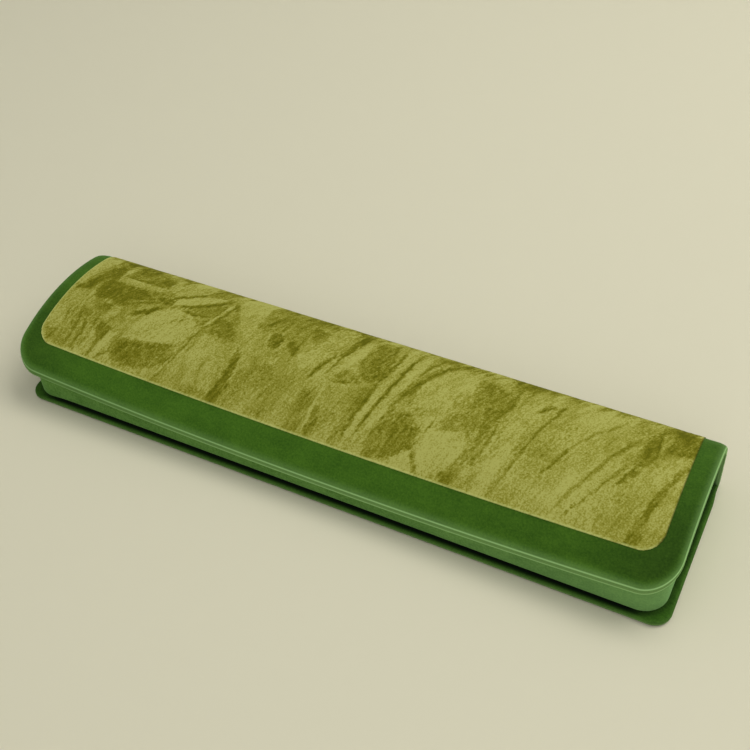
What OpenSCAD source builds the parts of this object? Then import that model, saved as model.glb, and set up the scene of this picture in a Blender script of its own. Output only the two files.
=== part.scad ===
// Long velvet jewelry case: a domed cover hinged by its cloth to a flat base with a tray.
// X runs along the case, -Y is the front, Z is up, and the origin is the centre of the underside.

/* [Case] */
// Length of the cover from end to end
cover_len = 225; // [190:1:260]
// Depth from the front edge to the outside of the spine
case_depth = 58; // [55:0.5:64]
// Height at the crest of the lid
case_height = 24.5; // [22.5:0.5:30]
// Thickness of the velvet and of the linings
cloth_t = 0.4; // [0.3:0.05:0.5]

/* [Cover] */
// Radius of the lid's dome
dome_r = 55.5; // [52:0.5:60]
// Distance of the crest behind the front edge
crest = 35; // [33:0.5:37]
// Radius where the lid turns down into the spine
shoulder_r = 11; // [9:0.5:13]
// Radius of the cover's two front corners, seen from above
cover_corner_r = 10; // [8:0.5:13]
// Thickness of the cover's curved board
cover_board_t = 1.5; // [1.3:0.1:1.8]
// Width of the velvet turned in round the inside of the cover
turn_in = 5; // [4:0.5:7]
// Height of the hinge cloth up the outside of the spine
hinge_up = 6; // [3:0.5:8]

/* [Inlay] */
// Green border left of the inlay
inlay_left = 5.1; // [3:0.1:10]
// Green border right of the inlay
inlay_right = 6.8; // [3:0.1:10]
// Green border in front of the inlay
inlay_front = 8.8; // [5:0.1:14]
// Radius of the inlay's front corners
inlay_r = 6.2; // [3:0.1:10]
// Height where the inlay ends on the spine
inlay_foot = 8; // [8:0.5:11]

/* [Base plate] */
// How much shorter than the cover the whole base is, all of it at the left end
base_short = 5; // [0:0.5:7]
// Thickness of the plate's board
plate_board_t = 1.2; // [1:0.1:1.8]
// Radius of the plate's front corners
plate_corner_r = 5; // [4:0.5:9]

/* [Tray] */
// Step from the plate's front edge back to the tray
tray_front_in = 1.2; // [0.6:0.1:2.5]
// Step from each end of the plate in to the tray
tray_end_in = 1.8; // [1:0.1:3]
// Radius of the tray's outer front corners
tray_corner_r = 7.5; // [7:0.5:12]
// Radius of the tray's inner corners
tray_inner_r = 3; // [2:0.5:5]
// Thickness of the tray's front wall, which holds the magnets
front_wall_t = 5; // [4.8:0.1:6]
// Thickness of the tray's end and back walls
side_wall_t = 2; // [1.5:0.1:2.5]
// Thickness of the tray's floor
tray_floor_t = 1.2; // [1:0.1:1.8]
// Height of the tray's back wall above the table
back_wall_z = 12.5; // [9:0.5:14]
// Height of the lining on the inside of the tray walls
lining_h = 3; // [2:0.5:4]
// Clearance between the tray's rim and the closed lid
rim_gap = 0.3; // [0.2:0.05:0.5]
// Clearance between the tray's back and the spine
back_gap = 0.5; // [0.4:0.05:0.8]
// Clearance between the base cloth and the hinge cloth
fold_gap = 0.3; // [0.2:0.05:0.4]

/* [Insert] */
// Clearance between the insert and the tray walls
insert_gap = 1.4; // [1.1:0.1:2]
// Thickness of the card under the insert
insert_board_t = 1; // [0.8:0.1:1.2]
// Height of the pad's edge above its card
pad_t = 3; // [2.5:0.1:3.4]
// Extra height of the pad at its middle
pad_crown = 1; // [0.6:0.1:1.2]
// How far the pad's sides pull in between its corners
pad_draw = 0.8; // [0.3:0.1:1.2]
// Radius of the pad's corners
pad_corner_r = 4; // [3:0.5:6]
// Depth of the pad's rounded edge
pad_round = 1.4; // [0.8:0.1:1.8]
// Thickness of foam left off under the pad's velvet
foam_in = 1; // [0.6:0.1:1.4]
// Width of the two hold-down bands
strap_w = 12; // [8:0.5:18]
// Thickness of the bands
strap_t = 0.6; // [0.4:0.05:0.8]
// Distance of each band from the middle of the tray
strap_x = 62; // [40:1:75]
// Clearance between a band and the pad's crown
strap_gap = 0.3; // [0.2:0.05:0.4]

/* [Closure] */
// Length of each magnet along the case
magnet_len = 20; // [12:1:26]
// Width of each magnet
magnet_w = 3; // [2.4:0.1:3.2]
// Thickness of each magnet
magnet_t = 1.4; // [1:0.1:1.6]
// Distance of each magnet from the middle of the tray
magnet_x = 55; // [30:1:75]
// Material left between a magnet or keeper and the face that it lies under
skin_t = 0.15; // [0.1:0.01:0.25]
// Width of each steel keeper in the lid
keeper_w = 4.5; // [3:0.1:5]
// Thickness of each keeper
keeper_t = 0.6; // [0.4:0.05:0.8]
// How much longer a keeper is than its magnet
keeper_extra = 4; // [0:0.5:8]

/* [Lid pad] */
// Thickness of the foam in the lid
lid_foam_t = 1.5; // [1:0.1:2]
// Clearance between the lid pad's edges and the tray walls
lid_pad_gap = 3; // [2.5:0.5:5]
// Distance of the lid pad's back edge from the outside of the spine
lid_pad_back = 13; // [12:0.5:18]

/* [Hidden] */
$fn = 96;

front = -case_depth / 2;
back = case_depth / 2;
past = 5;

cover_t = cover_board_t + 2 * cloth_t;
crest_y = front + crest;
dome_c = [crest_y, case_height - dome_r];
shoulder_y = back - shoulder_r;
shoulder_c = [shoulder_y, dome_c.y + sqrt(pow(dome_r - shoulder_r, 2) - pow(shoulder_y - crest_y, 2))];
join_turn = asin((shoulder_y - crest_y) / (dome_r - shoulder_r));
front_turn = 60;
dome_steps = 36;
shoulder_steps = 20;

base_x = base_short / 2;
plate_len = cover_len - base_short;
plate_back = back - cover_t - back_gap;
plate_t = plate_board_t + 2 * cloth_t;

tray_len = plate_len - 2 * tray_end_in;
tray_front = front + tray_front_in;
floor_z = plate_t + tray_floor_t;
rim_in = cover_t + rim_gap;
hollow_len = tray_len - 2 * (side_wall_t + 2 * cloth_t);
hollow_front = tray_front + front_wall_t + 2 * cloth_t;
hollow_back = plate_back - side_wall_t - 2 * cloth_t;
back_rim = min(back_wall_z, shoulder_c.y);

insert_y = (hollow_front + hollow_back) / 2;
insert_hx = hollow_len / 2 - insert_gap;
insert_hy = (hollow_back - hollow_front) / 2 - insert_gap;
card_z = floor_z + insert_board_t;
pad_z = card_z + pad_t;
foam_hx = insert_hx - pad_draw - foam_in;
foam_hy = insert_hy - pad_draw - foam_in;

closure_y = tray_front + cloth_t + front_wall_t / 2;
magnet_r = dome_r - rim_in - cloth_t - skin_t - magnet_t / 2;
closure_turn = asin((crest_y - closure_y) / magnet_r);
keeper_r = dome_r - cloth_t - cover_board_t + skin_t + keeper_t / 2;

lid_pad_len = hollow_len - 2 * lid_pad_gap;
lid_pad_front = hollow_front + lid_pad_gap - front;
lid_pad_corner_r = 4;

// Puts parts of the base, and the lid's parts over them, in the middle of the base
module on_base() {
    translate([base_x, 0, 0]) children();
}

// Outline seen from above, with its two front corners rounded
module front_rounded(len, y0, y1, r) {
    translate([-len / 2, y0 + r]) square([len, y1 - y0 - r]);
    translate([-len / 2 + r, y0]) square([len - 2 * r, y1 - y0]);
    for (side = [-1, 1]) translate([side * (len / 2 - r), y0 + r]) circle(r);
}

// Outline seen from above, with all four corners rounded
module all_rounded(len, y0, y1, r) {
    translate([-len / 2, y0 + r]) square([len, y1 - y0 - 2 * r]);
    translate([-len / 2 + r, y0]) square([len - 2 * r, y1 - y0]);
    for (side = [-1, 1]) for (y = [y0 + r, y1 - r]) translate([side * (len / 2 - r), y]) circle(r);
}

// Side view of the cover's outer face moved in by a depth: dome, shoulder and straight spine
function profile(depth) = concat(
    [for (k = [0:dome_steps]) let (a = (front_turn + join_turn) * k / dome_steps - front_turn)
        dome_c + (dome_r - depth) * [sin(a), cos(a)]],
    [for (k = [1:shoulder_steps]) let (a = join_turn + (90 - join_turn) * k / shoulder_steps)
        shoulder_c + (shoulder_r - depth) * [sin(a), cos(a)]],
    [[back - depth, dome_c.y]]);

function reversed(points) = [for (k = [len(points) - 1:-1:0]) points[k]];

// All that lies under the cover's outer face moved in by a depth
module under_cover(depth, length) {
    rotate([90, 0, 90]) linear_extrude(length, center = true)
        polygon(concat(profile(depth), [[profile(depth)[0].x, dome_c.y]]));
}

// Curved layer between two depths under the cover's outer face, held back from its edges
module cover_layer(outer, inner, left, right, ahead, corner_r, z0) {
    intersection() {
        translate([(left - right) / 2, 0, z0]) linear_extrude(case_height + past)
            front_rounded(cover_len - left - right, front + ahead, back + past, corner_r);
        rotate([90, 0, 90]) linear_extrude(cover_len + past, center = true)
            polygon(concat(profile(outer), reversed(profile(inner))));
    }
}

// A flat bar laid under the dome at the closure, on both sides of the middle
module closure_bars(len, width, thick, r) {
    for (side = [-1, 1])
        translate([side * magnet_x, dome_c.x, dome_c.y]) rotate([closure_turn, 0, 0])
            translate([0, 0, r]) cube([len, width, thick], center = true);
}

module magnets() {
    closure_bars(magnet_len, magnet_w, magnet_t, magnet_r);
}

module keepers() {
    closure_bars(magnet_len + keeper_extra, keeper_w, keeper_t, keeper_r);
}

// The tray filled solid, moved in by a depth from its outer faces
module tray_block(inset) {
    intersection() {
        translate([0, 0, plate_t]) linear_extrude(case_height) front_rounded(tray_len - 2 * inset,
            tray_front + inset, plate_back - inset, tray_corner_r - inset);
        under_cover(rim_in + inset, tray_len);
    }
}

// The hollow of the tray, grown by a depth, open at the top and lowered at the back wall
module tray_hollow(grow, z0) {
    translate([0, 0, z0]) linear_extrude(case_height)
        all_rounded(hollow_len + 2 * grow, hollow_front - grow, hollow_back + grow, tray_inner_r + grow);
}

module back_notch(grow) {
    half = hollow_len / 2 + grow - tray_inner_r;
    translate([-half, hollow_back - tray_inner_r, back_rim - grow])
        cube([2 * half, side_wall_t + tray_inner_r + past, case_height]);
}

module inlay_shape(outer) {
    cover_layer(outer, cloth_t, inlay_left, inlay_right, inlay_front, inlay_r, inlay_foot);
}

// The lid's pad between two depths, moved in by a distance from its edges
module lid_pad_shape(outer, inner, inset) {
    side = (cover_len - lid_pad_len) / 2 + inset;
    intersection() {
        cover_layer(outer, inner, side + base_x, side - base_x, lid_pad_front + inset,
            lid_pad_corner_r - inset, plate_t);
        translate([-cover_len / 2, front, 0])
            cube([cover_len, case_depth - lid_pad_back - inset, case_height + past]);
    }
}

// Half outline of the pad from its left end to its right, moved in by a distance
function half_ring(inset) = let (hx = insert_hx - inset, hy = insert_hy - inset,
        r = max(pad_corner_r - inset, 0.6)) concat(
    [for (k = [1:3]) [-hx, -(hy - r) * k / 4]],
    [for (k = [0:4]) [-hx + r - r * cos(k * 22.5), -hy + r - r * sin(k * 22.5)]],
    [for (k = [1:15]) [(hx - r) * (k / 8 - 1), -hy]],
    [for (k = [4:-1:0]) [hx - r + r * cos(k * 22.5), -hy + r - r * sin(k * 22.5)]],
    [for (k = [3:-1:1]) [hx, -(hy - r) * k / 4]]);

// Draws the sides in between the corners
function drawn(p) = [p.x - pad_draw * p.x / insert_hx * (1 - pow(p.y / insert_hy, 2)),
    p.y - pad_draw * p.y / insert_hy * (1 - pow(p.x / insert_hx, 2))];

function crown_at(p) = pad_crown * (1 - pow(p.x / insert_hx, 4)) * (1 - pow(p.y / insert_hy, 2));

// One ring of the pad: an inset, a drop below the top face, and a share of the crown
function pad_ring(inset, drop, share) = let (h = half_ring(inset), n = len(h)) [for (k = [0:2 * n - 1])
    let (p = drawn(k < n ? h[k] : [h[2 * n - 1 - k].x, -h[2 * n - 1 - k].y]))
    [p.x, p.y + insert_y, pad_z - drop + share * crown_at(p)]];

module pad_form() {
    arc = [for (k = [0:3]) [pad_round * (1 - cos(k * 30)), pad_round * (1 - sin(k * 30))]];
    span = insert_hy - pad_round;
    rings = concat([pad_ring(0, pad_t, 0)],
        [for (a = arc) pad_ring(a.x, a.y, 1 - a.y / pad_round)],
        [for (k = [1:5]) pad_ring(pad_round + span * k / 6, 0, 1)]);
    n = len(rings[0]);
    top = n * (len(rings) - 1);
    skin = [for (j = [0:len(rings) - 2]) for (k = [0:n - 1]) let (a = j * n + k, b = j * n + (k + 1) % n)
        each [[a, a + n, b + n], [a, b + n, b]]];
    lids = [for (k = [0:n / 2 - 2]) let (c = n - 1 - k, d = n - 2 - k)
        each [[k, k + 1, d], [k, d, c], [top + k, top + d, top + k + 1], [top + k, top + c, top + d]]];
    polyhedron(points = [for (r = rings) each r], faces = concat(skin, lids), convexity = 4);
}

module foam_block() {
    translate([0, 0, card_z]) linear_extrude(pad_t - foam_in)
        all_rounded(2 * foam_hx, insert_y - foam_hy, insert_y + foam_hy, pad_corner_r - foam_in);
}

// A band over the pad, down past its sides to the tray's floor
module strap(x) {
    sweep_r = (pow(insert_hy, 2) + pow(pad_crown, 2)) / (2 * pad_crown);
    arc_c = [insert_y, pad_z + pad_crown + strap_gap - sweep_r];
    translate([x, 0, 0]) rotate([90, 0, 90]) linear_extrude(strap_w, center = true) difference() {
        intersection() {
            translate(arc_c) circle(sweep_r + strap_t, $fn = 720);
            translate([insert_y - insert_hy - strap_t, floor_z])
                square([2 * (insert_hy + strap_t), case_height]);
        }
        intersection() {
            translate(arc_c) circle(sweep_r, $fn = 720);
            translate([insert_y - insert_hy, floor_z - past]) square([2 * insert_hy, case_height]);
        }
    }
}

// Cloth under the whole base, which is one with the cloth of the hinge
module base_cloth() {
    color([0.17, 0.27, 0.11]) on_base() linear_extrude(cloth_t)
        front_rounded(plate_len, front, plate_back, plate_corner_r);
}

module plate_core() {
    translate([0, 0, cloth_t]) linear_extrude(plate_board_t) front_rounded(plate_len - 2 * cloth_t,
        front + cloth_t, plate_back - cloth_t, plate_corner_r - cloth_t);
}

module base_board() {
    color([0.62, 0.58, 0.5]) on_base() plate_core();
}

// Velvet over the plate's top and round its edges
module plate_velvet() {
    color([0.18, 0.28, 0.12]) on_base() difference() {
        translate([0, 0, cloth_t]) linear_extrude(plate_t - cloth_t)
            front_rounded(plate_len, front, plate_back, plate_corner_r);
        plate_core();
    }
}

module tray_shell() {
    color([0.55, 0.52, 0.46]) on_base() difference() {
        tray_block(cloth_t);
        tray_hollow(cloth_t, floor_z);
        back_notch(cloth_t);
        magnets();
    }
}

// Velvet band round the tray, over its rim and down inside to the lining
module tray_velvet() {
    color([0.3, 0.44, 0.2]) on_base() difference() {
        tray_block(0);
        difference() {
            tray_block(cloth_t);
            back_notch(cloth_t);
            tray_hollow(cloth_t, floor_z + lining_h);
        }
        tray_hollow(0, 0);
        back_notch(0);
    }
}

module tray_lining() {
    color([0.25, 0.38, 0.16]) on_base() translate([0, 0, floor_z]) linear_extrude(lining_h) difference() {
        all_rounded(hollow_len + 2 * cloth_t, hollow_front - cloth_t, hollow_back + cloth_t,
            tray_inner_r + cloth_t);
        all_rounded(hollow_len, hollow_front, hollow_back, tray_inner_r);
    }
}

module tray_magnets() {
    color([0.72, 0.72, 0.74]) on_base() magnets();
}

module insert_card() {
    color([0.62, 0.58, 0.5]) on_base() translate([0, 0, floor_z]) linear_extrude(insert_board_t)
        all_rounded(2 * insert_hx, insert_y - insert_hy, insert_y + insert_hy, pad_corner_r);
}

module insert_foam() {
    color([0.85, 0.85, 0.8]) on_base() foam_block();
}

module insert_velvet() {
    color([0.33, 0.46, 0.22]) on_base() difference() {
        pad_form();
        foam_block();
    }
}

module strap_left() {
    color([0.2, 0.31, 0.13]) on_base() strap(-strap_x);
}

module strap_right() {
    color([0.2, 0.31, 0.13]) on_base() strap(strap_x);
}

module board_shape() {
    cover_layer(cloth_t, cloth_t + cover_board_t, cloth_t, cloth_t, cloth_t, cover_corner_r - cloth_t,
        cloth_t);
}

module cover_board() {
    color([0.62, 0.58, 0.5]) difference() {
        board_shape();
        on_base() keepers();
    }
}

// Velvet over the cover, round its edges and turned in, with a window for the inlay
module cover_velvet() {
    color([0.2, 0.34, 0.11]) difference() {
        cover_layer(0, cover_t, 0, 0, 0, cover_corner_r, cloth_t);
        board_shape();
        cover_layer(cloth_t + cover_board_t, cover_t + past, turn_in, turn_in, turn_in,
            cover_corner_r - turn_in, 0);
        inlay_shape(-past);
        translate([-cover_len / 2 - past, back - cloth_t, 0])
            cube([cover_len + 2 * past, cloth_t + past, hinge_up]);
    }
}

module lid_inlay() {
    color([0.55, 0.54, 0.2]) inlay_shape(0);
}

module lid_keepers() {
    color([0.72, 0.72, 0.74]) on_base() keepers();
}

module cover_lining() {
    color([0.25, 0.38, 0.16]) cover_layer(cloth_t + cover_board_t, cover_t, turn_in, turn_in, turn_in,
        cover_corner_r - turn_in, cloth_t);
}

module lid_foam() {
    color([0.85, 0.85, 0.8]) lid_pad_shape(cover_t, cover_t + lid_foam_t, cloth_t);
}

module lid_pad_velvet() {
    color([0.33, 0.46, 0.22]) difference() {
        lid_pad_shape(cover_t, cover_t + lid_foam_t + cloth_t, 0);
        lid_pad_shape(cover_t - past, cover_t + lid_foam_t, cloth_t);
    }
}

// The fold of the outer cloth: under the spine's foot and a little way up its back
module hinge_cloth() {
    color([0.18, 0.3, 0.11]) {
        translate([-cover_len / 2, plate_back + fold_gap, 0])
            cube([cover_len, back - plate_back - fold_gap, cloth_t]);
        translate([-cover_len / 2, back - cloth_t, 0]) cube([cover_len, cloth_t, hinge_up]);
    }
}

base_cloth();
base_board();
plate_velvet();
tray_shell();
tray_velvet();
tray_lining();
tray_magnets();
insert_card();
insert_foam();
insert_velvet();
strap_left();
strap_right();
cover_board();
cover_velvet();
lid_inlay();
lid_keepers();
cover_lining();
lid_foam();
lid_pad_velvet();
hinge_cloth();
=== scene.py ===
import math

import bmesh
import bpy
import numpy as np
from mathutils import Matrix, Vector, noise


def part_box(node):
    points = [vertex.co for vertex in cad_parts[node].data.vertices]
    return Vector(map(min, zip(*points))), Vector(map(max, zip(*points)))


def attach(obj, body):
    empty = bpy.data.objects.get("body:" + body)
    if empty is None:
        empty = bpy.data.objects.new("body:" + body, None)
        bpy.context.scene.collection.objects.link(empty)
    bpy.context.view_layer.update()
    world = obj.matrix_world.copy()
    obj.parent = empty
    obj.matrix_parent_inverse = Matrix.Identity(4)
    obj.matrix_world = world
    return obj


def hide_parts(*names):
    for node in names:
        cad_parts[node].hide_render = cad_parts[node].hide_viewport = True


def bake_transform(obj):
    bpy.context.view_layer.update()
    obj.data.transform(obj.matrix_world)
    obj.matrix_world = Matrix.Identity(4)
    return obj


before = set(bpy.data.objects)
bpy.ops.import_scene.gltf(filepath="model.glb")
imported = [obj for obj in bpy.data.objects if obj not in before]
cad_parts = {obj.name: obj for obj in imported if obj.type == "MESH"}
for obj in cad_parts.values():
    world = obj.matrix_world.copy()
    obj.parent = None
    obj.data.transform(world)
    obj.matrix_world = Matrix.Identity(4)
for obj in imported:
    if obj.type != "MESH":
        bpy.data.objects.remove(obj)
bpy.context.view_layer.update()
mm = 0.001


# Board of the base plate and the outer cloth under it.
# The board is grey card, cut with two round front corners. The cloth is one with the
# velvet of the lid: it is glued flat under the board and wraps nothing here.
plate_low, plate_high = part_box("plate_velvet")
cloth_low, cloth_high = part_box("base_cloth")
plate_corner_r = 5 * mm
hair = 0.01 * mm
x_axis, y_axis, z_axis = Matrix.Identity(3)


def clear_selection():
    if bpy.context.object and bpy.context.object.mode != "OBJECT":
        bpy.ops.object.mode_set(mode="OBJECT")
    bpy.ops.object.select_all(action="DESELECT")


def take(piece):
    """Selects one piece and nothing else."""
    clear_selection()
    bpy.context.view_layer.objects.active = piece
    piece.select_set(True)


def edit(piece):
    take(piece)
    bpy.ops.object.mode_set(mode="EDIT")
    bpy.ops.mesh.select_all(action="SELECT")


def choose(piece, kind, test):
    """Selects the points, edges or faces that a test of their middle accepts."""
    bpy.ops.mesh.select_all(action="DESELECT")
    bpy.ops.mesh.select_mode(type=kind)
    mesh = bmesh.from_edit_mesh(piece.data)
    items = {"VERT": mesh.verts, "EDGE": mesh.edges, "FACE": mesh.faces}[kind]
    for item in items:
        corners = [item] if kind == "VERT" else item.verts
        item.select_set(test([v.co for v in corners]))
    mesh.select_flush_mode()
    bmesh.update_edit_mesh(piece.data)


def blank(name, low, high, front_r, back_r=0.0, steps=14):
    """A flat blank, cut out with round corners and as thick as the box it is given."""
    clear_selection()
    middle = (low + high) / 2
    bpy.ops.mesh.primitive_plane_add(size=1, location=(middle.x, middle.y, low.z))
    piece = bpy.context.object
    piece.name = name
    piece.scale = (high.x - low.x, high.y - low.y, 1)
    bpy.ops.object.transform_apply(location=True, rotation=True, scale=True)
    bpy.ops.object.mode_set(mode="EDIT")
    choose(piece, "VERT", lambda p: p[0].y < middle.y)
    bpy.ops.mesh.bevel(affect="VERTICES", offset=front_r, segments=steps)
    if back_r:
        choose(piece, "VERT", lambda p: p[0].y > high.y - hair)
        bpy.ops.mesh.bevel(affect="VERTICES", offset=back_r, segments=steps)
    bpy.ops.mesh.select_all(action="SELECT")
    bpy.ops.mesh.extrude_region_move(TRANSFORM_OT_translate={"value": (0, 0, high.z - low.z)})
    bpy.ops.mesh.select_all(action="SELECT")
    bpy.ops.mesh.normals_make_consistent(inside=False)
    return piece


def soften(piece, height, radius, steps=4, test=None):
    """Rounds the edges that run round a blank at one height."""
    def at_height(points):
        flat = all(abs(p.z - height) < hair for p in points)
        return flat and (test is None or test(points))

    choose(piece, "EDGE", at_height)
    bpy.ops.mesh.bevel(affect="EDGES", offset=radius, segments=steps, profile=0.5)


def slice_up(piece, axis, places):
    """Cuts rows of edges straight through a piece, so that it can bend there."""
    edit(piece)
    for place in places:
        bpy.ops.mesh.select_all(action="SELECT")
        bpy.ops.mesh.bisect(plane_co=axis * place, plane_no=axis)


def spread_of(low, high, pitch):
    return np.linspace(low, high, max(2, round((high - low) / pitch)) + 1)[1:-1]


def node(material, kind, output, inputs, **settings):
    """The output of a new shader node with its settings and with values or sockets on its inputs."""
    made = material.node_tree.nodes.new("ShaderNode" + kind)
    for name, value in settings.items():
        setattr(made, name, value)
    for name, value in inputs.items():
        if isinstance(value, bpy.types.NodeSocket):
            material.node_tree.links.new(value, made.inputs[name])
        else:
            made.inputs[name].default_value = value
    return made.outputs[output]


def shader(name, roughness, metallic=0.0, sheen=0.0, sheen_tint=(1, 1, 1, 1), specular=0.25):
    """A new material with its Principled shader, and the point of the object that is shaded."""
    material = bpy.data.materials.new(name)
    material.use_nodes = True
    surface = material.node_tree.nodes["Principled BSDF"]
    surface.inputs["Roughness"].default_value = roughness
    surface.inputs["Metallic"].default_value = metallic
    surface.inputs["Specular IOR Level"].default_value = specular
    surface.inputs["Sheen Weight"].default_value = sheen
    surface.inputs["Sheen Roughness"].default_value = 0.4
    surface.inputs["Sheen Tint"].default_value = sheen_tint
    return material, surface, node(material, "TexCoord", "Object", {})


def coat(material, surface, colour, relief, distance, strength=0.5):
    """Gives the shader its colour and a relief that is as high as the distance."""
    material.node_tree.links.new(colour, surface.inputs["Base Color"])
    heights = {"Height": relief, "Distance": distance, "Strength": strength}
    material.node_tree.links.new(node(material, "Bump", "Normal", heights), surface.inputs["Normal"])


def speckle(material, place, size, detail=2.0, stretch=None):
    """Soft noise whose blotches are about as wide as size, from 0 to 1."""
    if stretch:
        place = node(material, "Mapping", "Vector", {"Vector": place, "Scale": stretch})
    inputs = {"Vector": place, "Scale": 1 / size, "Detail": detail, "Roughness": 0.6}
    return node(material, "TexNoise", "Fac", inputs)


def shade_between(material, share, low, high, colours):
    """Colours spread evenly from where share is low to where it is high."""
    shaded = node(material, "ValToRGB", "Color", {"Fac": share})
    stops = shaded.node.color_ramp.elements
    for index, colour in enumerate(colours):
        at = low + (high - low) * index / (len(colours) - 1)
        stop = stops[index] if index < 2 else stops.new(at)
        stop.position = at
        stop.color = (*colour, 1)
    return shaded


def flecked(name, roughness, size, detail, tones, relief, strength=0.5, stretch=None, metallic=0.0):
    """A finish with flecks of two tones that also stand out a little."""
    material, surface, place = shader(name, roughness, metallic)
    flecks = speckle(material, place, size, detail, stretch)
    coat(material, surface, shade_between(material, flecks, 0.3, 0.7, tones), flecks, relief, strength)
    return material


def wear(piece, material):
    piece.data.materials.clear()
    piece.data.materials.append(material)


def add_piece(piece, material, body, slot, *nodes, smooth=35):
    """Smooths and dresses a piece, puts it on its body and hides the nodes that it stands for."""
    take(piece)
    bpy.ops.object.shade_smooth_by_angle(angle=math.radians(smooth))
    wear(piece, material)
    if body:
        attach(piece, body)
    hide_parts(*nodes)


def srgb(red, green, blue):
    """A colour seen as three numbers to 255, as the shader wants it."""
    seen = [c / 255 for c in (red, green, blue)]
    return tuple(c / 12.92 if c <= 0.04 else ((c + 0.055) / 1.055) ** 2.4 for c in seen)


# Grey board: pressed paper pulp with small darker flecks.
card = flecked("grey_board", 0.85, 0.5 * mm, 4, [srgb(146, 136, 118), srgb(172, 163, 146)], 0.05 * mm)
for board in ("base_board", "insert_card"):
    wear(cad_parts[board], card)


def mixed(material, share, first, second):
    """The first colour turned into the second by share."""
    inputs = {"Factor": share, "A": first, "B": second}
    return node(material, "Mix", "Result", inputs, data_type="RGBA")


def worked(material, operation, *values):
    return node(material, "Math", "Value", dict(enumerate(values)), operation=operation)


def stored(material, name):
    return node(material, "Attribute", "Fac", {}, attribute_name=name)


case_len = 225 * mm
# The colour of painted shade, black with a trace of green.
painted_shade_black = (0.0012, 0.004, 0.0008, 1)


def green_velvet(name, dark, light, arris, upper, lower=0.0, sheen=0.5, painted_sheen_right=0.0):
    """Short pile with painted highlights on its bends, where the opened pile catches light, and
    painted shade that is black in a groove. The attribute edge is the way in metres from a piece's
    upper arris, less than 0 on its top, and hollow is the share of painted shade. upper and lower
    weigh the painted highlights on the two arrises, which grow to the right, and the last argument
    is a painted sheen that pales the pile at the right end."""
    material, surface, place = shader(name, 0.9, sheen=sheen, sheen_tint=(*arris, 1), specular=0.08)
    edge = stored(material, "edge")

    def times(first, second, plus=0.0):
        return worked(material, "MULTIPLY_ADD", first, second, plus)

    def lit(way, width):
        """1 at a way from the arris, falling off to both sides over the width."""
        away = times(edge, 1 / width, -way / width)
        return worked(material, "POWER", math.e, times(times(away, away), -1.0))

    pile = speckle(material, place, 0.6 * mm, 5)
    brushed = speckle(material, place, 11 * mm, 4, (1, 1.8, 1.8))
    colour = shade_between(material, times(brushed, 0.4, times(pile, 0.6)), 0.34, 0.66, [dark, light])
    right = times(node(material, "SeparateXYZ", "X", {"Vector": place}), 1 / case_len, 0.5)
    # Painted highlight on the upper arris: a soft halo and a narrow line, stronger to the right.
    painted_highlight = times(lit(0, 1.2 * mm), 0.2 * upper)
    painted_highlight = times(lit(0.14 * mm, 0.22 * mm), 0.8 * upper, painted_highlight)
    painted_highlight = times(painted_highlight, times(right, 0.4, 0.75))
    # A fainter painted highlight on the lower arris, growing to the right.
    painted_lower_line = times(lit(1.0 * mm, 0.5 * mm), 0.3, lit(1.64 * mm, 0.3 * mm))
    rising = worked(material, "MINIMUM", times(right, 1.2, 0.3), 0.8)
    painted_highlight = times(painted_lower_line, times(rising, lower), painted_highlight)
    # Painted sheen that pales the pile towards the right end.
    painted_highlight = times(worked(material, "POWER", right, 4.0), painted_sheen_right, painted_highlight)
    colour = mixed(material, painted_highlight, colour, (*arris, 1))
    # Painted shade, as much as the hollow attribute asks.
    colour = mixed(material, stored(material, "hollow"), colour, painted_shade_black)
    coat(material, surface, colour, pile, 0.15 * mm, 0.4)
    return material


def points_of(mesh):
    """The places of a mesh's points, one row of x, y and z for each."""
    points = np.zeros(len(mesh.vertices) * 3, np.float32)
    mesh.vertices.foreach_get("co", points)
    return points.reshape(-1, 3)


def store(piece, name, values):
    attribute = piece.data.attributes.new(name, "FLOAT", "POINT")
    attribute.data.foreach_set("value", values.astype(np.float32))


def mark(piece, name, rule):
    """Stores a number at each point of a piece, from a rule of its x, y and z."""
    clear_selection()
    store(piece, name, rule(*points_of(piece.data).T))


def mark_plain(piece):
    mark(piece, "edge", lambda x, y, z: np.full_like(x, -1.0))


base_tones = (srgb(33, 65, 8), srgb(62, 100, 28), srgb(120, 152, 90))
# The third tone is the colour of the painted highlight, and 0.6 its strength on the plate's arris.
base_green = green_velvet("plate_velvet_green", *base_tones, 0.6, sheen=0.3)

base_wrap = blank("base_wrap", cloth_low, cloth_high, plate_corner_r, steps=10)
soften(base_wrap, cloth_low.z, 0.15 * mm, 2)
slice_up(base_wrap, x_axis, spread_of(cloth_low.x, cloth_high.x, 12 * mm))
mark_plain(base_wrap)
add_piece(base_wrap, base_green, "base", "outer_velvet", "base_cloth")


# Velvet over the base plate.
# One piece of velvet is drawn over the board's top and down its edges to the cloth below.
# It stands out past the tray all round as a soft-edged ledge.
plate_soft_r = 0.75 * mm
plate_foot_r = 0.35 * mm
plate_swell = Vector((0.5, 0.6, 0)) * mm
cloth_t = cloth_high.z - cloth_low.z
base_x = (plate_low.x + plate_high.x) / 2
base_half = (plate_high.x - plate_low.x) / 2
tray_low, tray_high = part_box("tray_velvet")
tray_half = (tray_high.x - tray_low.x) / 2
tray_corner_r = 7.5 * mm


def change(piece, kind, **settings):
    """Gives a piece a modifier with its settings and applies it."""
    take(piece)
    modifier = piece.modifiers.new(kind.lower(), kind)
    for name, value in settings.items():
        setattr(modifier, name, value)
    bpy.ops.object.modifier_apply(modifier=modifier.name)


def to_skin(piece, thickness):
    """Turns an open surface into cloth of that thickness, which lies on its inner side."""
    change(piece, "SOLIDIFY", thickness=thickness, offset=-1)


def drop_faces(piece, test):
    edit(piece)
    choose(piece, "FACE", test)
    bpy.ops.mesh.delete(type="FACE")


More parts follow.
